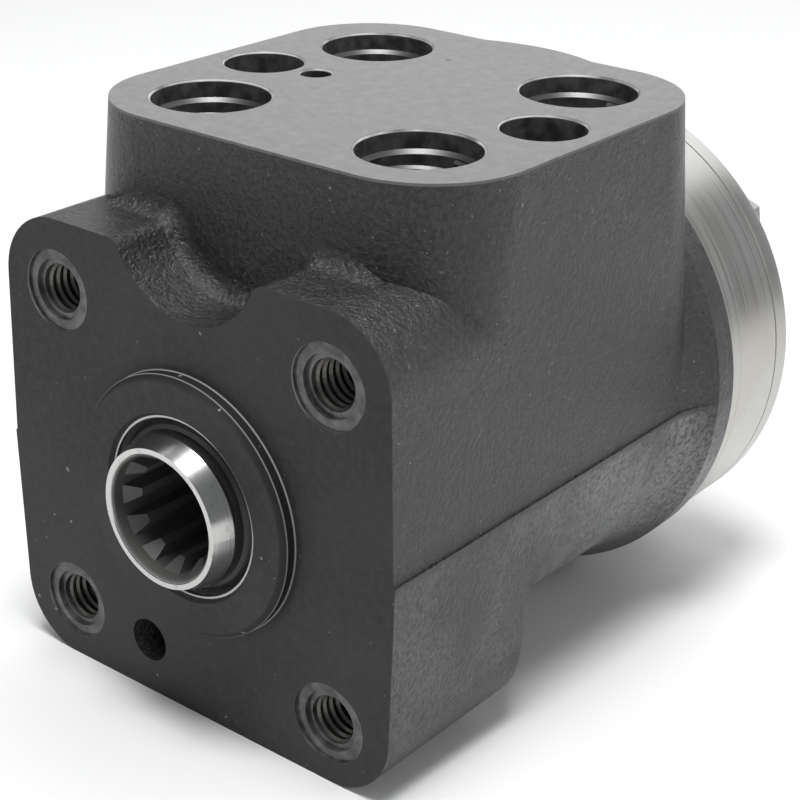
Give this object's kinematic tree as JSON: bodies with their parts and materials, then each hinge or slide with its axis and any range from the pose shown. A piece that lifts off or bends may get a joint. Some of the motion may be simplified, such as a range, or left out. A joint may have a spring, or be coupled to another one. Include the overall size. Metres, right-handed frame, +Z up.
{
  "type": "orbital steering unit",
  "caption": "Hydrostatic steering unit: cast housing with front flange and port block, splined spool neck, sleeve, cardan shaft and orbiting gear set behind a round end cover.",
  "frame": {"origin": "on the shaft axis in the machined front face of the flange, which bolts to the steering column", "axes": "+Y runs back along the shaft to the end cover, +Z points up out of the port face, +X points to the right seen from the front"},
  "size_m": [0.0906, 0.129, 0.1022],
  "materials": {
    "casting": "grey iron, dark coated, sand cast grain, machined faces lighter",
    "ground_steel": "ground and turned steel",
    "neck_steel": "ground bright",
    "bright_steel": "thin pressed steel",
    "gear_steel": "hardened and lapped",
    "hard_steel": "hardened and ground",
    "screw_steel": "blackened steel",
    "seal_rubber": "black nitrile rubber",
    "seal_plastic": "filled sealing plastic"
  },
  "bodies": {
    "housing_body": {"housing": "casting", "thrust_race_outer": "hard_steel", "kin_ring": "seal_plastic", "shaft_o_ring": "seal_rubber", "dust_seal_case": "bright_steel", "dust_seal": "seal_rubber", "check_bushing": "hard_steel", "distributor_plate": "ground_steel", "gear_ring": "ground_steel", "end_cover": "ground_steel", "cover_washers": "screw_steel", "cover_screws": "screw_steel", "housing_o_ring": "seal_rubber", "plate_o_ring": "seal_rubber", "cover_o_ring": "seal_rubber"},
    "sleeve_body": {"sleeve": "hard_steel", "cross_pin": "hard_steel", "spring_ring": "hard_steel", "thrust_race_inner": "hard_steel", "flat_springs": "hard_steel", "bowed_springs": "hard_steel"},
    "spool_body": {"spool": "neck_steel"},
    "bearing_body": {"needle_cage": "hard_steel", "needle_rollers": "hard_steel"},
    "orbit_body": {"spacer": "hard_steel"},
    "rotor_body": {"rotor": "gear_steel"},
    "cardan_body": {"cardan_shaft": "hard_steel"},
    "ball_body": {"check_ball": "hard_steel"}
  },
  "joints": [
    {"name": "sleeve_spin", "type": "hinge", "parent": "housing_body", "child": "sleeve_body", "pos_m": [0, 0.063, 0], "axis": [0, -1, 0], "continuous": true},
    {"name": "spool_deflection", "type": "hinge", "parent": "sleeve_body", "child": "spool_body", "pos_m": [0, 0.063, 0], "axis": [0, -1, 0], "range_deg": [-10, 10], "stiffness_Nm_per_rad": 8, "deforming": ["flat_springs", "bowed_springs"]},
    {"name": "needle_orbit", "type": "hinge", "parent": "housing_body", "child": "bearing_body", "pos_m": [0, 0.0116, 0], "axis": [0, -1, 0], "continuous": true},
    {"name": "rotor_orbit", "type": "hinge", "parent": "housing_body", "child": "orbit_body", "pos_m": [0, 0.103, 0], "axis": [0, -1, 0], "continuous": true},
    {"name": "rotor_spin", "type": "hinge", "parent": "orbit_body", "child": "rotor_body", "pos_m": [0, 0.10475, 0.003], "axis": [0, -1, 0], "continuous": true},
    {"name": "cardan_spin", "type": "hinge", "parent": "orbit_body", "child": "cardan_body", "pos_m": [0, 0.063, 0], "axis": [0, -0.9972, -0.0748], "continuous": true},
    {"name": "check_ball_lift", "type": "slide", "parent": "housing_body", "child": "ball_body", "axis": [0, -1, 0], "range_m": [0, 0.0011]}
  ],
  "couplings": [
    {"joint": "needle_orbit", "follows": "sleeve_spin", "ratio": 0.5},
    {"joint": "rotor_orbit", "follows": "sleeve_spin", "ratio": -6},
    {"joint": "rotor_spin", "follows": "sleeve_spin", "ratio": 7},
    {"joint": "cardan_spin", "follows": "sleeve_spin", "ratio": 7}
  ]
}
